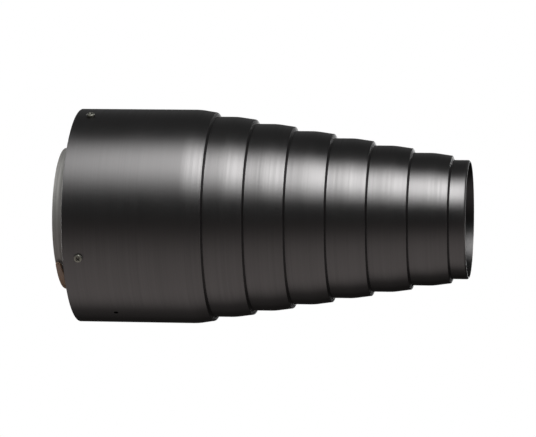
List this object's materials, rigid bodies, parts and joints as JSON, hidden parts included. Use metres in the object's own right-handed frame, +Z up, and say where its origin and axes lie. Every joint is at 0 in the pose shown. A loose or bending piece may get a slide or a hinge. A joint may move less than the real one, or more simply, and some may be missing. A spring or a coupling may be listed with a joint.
{
  "type": "studio light snoot",
  "caption": "Stepped conical snoot for a studio flash head: nested black turned shells narrow a beam to a small round mouth, on a slotted socket with an over-centre clamp band.",
  "frame": {"origin": "centre of the socket bore at its rear edge, where the flash head enters", "axes": "+X along the optical axis towards the mouth, +Z up, -Y towards the side that carries the lever's tip"},
  "size_m": [0.3145, 0.165, 0.165],
  "materials": {
    "shell_anodised": "black anodised over a fine circumferential turned grain, satin",
    "inner_black": "matte black",
    "socket_grey": "clear anodised, satin",
    "band_steel": "brushed along the band, satin",
    "latch_steel": "pressed steel, satin",
    "grip_brown": "moulded brown heat-resisting resin, satin",
    "screw_zinc": "bright zinc plate"
  },
  "bodies": {
    "root": {"rear_shell": "shell_anodised", "step_ring_1": "shell_anodised", "step_ring_2": "shell_anodised", "step_ring_3": "shell_anodised", "step_ring_4": "shell_anodised", "step_ring_5": "shell_anodised", "step_ring_6": "shell_anodised", "nose_ring": "shell_anodised", "join_ring_1": "inner_black", "join_ring_2": "inner_black", "join_ring_3": "inner_black", "join_ring_4": "inner_black", "join_ring_5": "inner_black", "join_ring_6": "inner_black", "join_ring_7": "inner_black", "mount_plate": "inner_black", "socket": "socket_grey", "clamp_band": "band_steel", "band_hook": "latch_steel", "latch_bracket": "latch_steel", "lever_pin": "screw_zinc", "band_rivets": "screw_zinc", "flange_screws": "screw_zinc", "shell_screws": "screw_zinc"},
    "lever": {"latch_lever": "latch_steel", "lever_grip": "grip_brown", "grip_rivets": "screw_zinc"},
    "bail": {"latch_bail": "latch_steel"}
  },
  "joints": [
    {"name": "lever_pivot", "type": "hinge", "parent": "root", "child": "lever", "pos_m": [0.006, 0.01521, -0.05306], "axis": [1, 0, 0], "range_deg": [0, 115]},
    {"name": "bail_pivot", "type": "hinge", "parent": "lever", "child": "bail", "pos_m": [0.006, 0.00929, -0.0538], "axis": [1, 0, 0], "range_deg": [-143.75, 0]}
  ],
  "couplings": [
    {"joint": "bail_pivot", "follows": "lever_pivot", "ratio": -1.25}
  ]
}
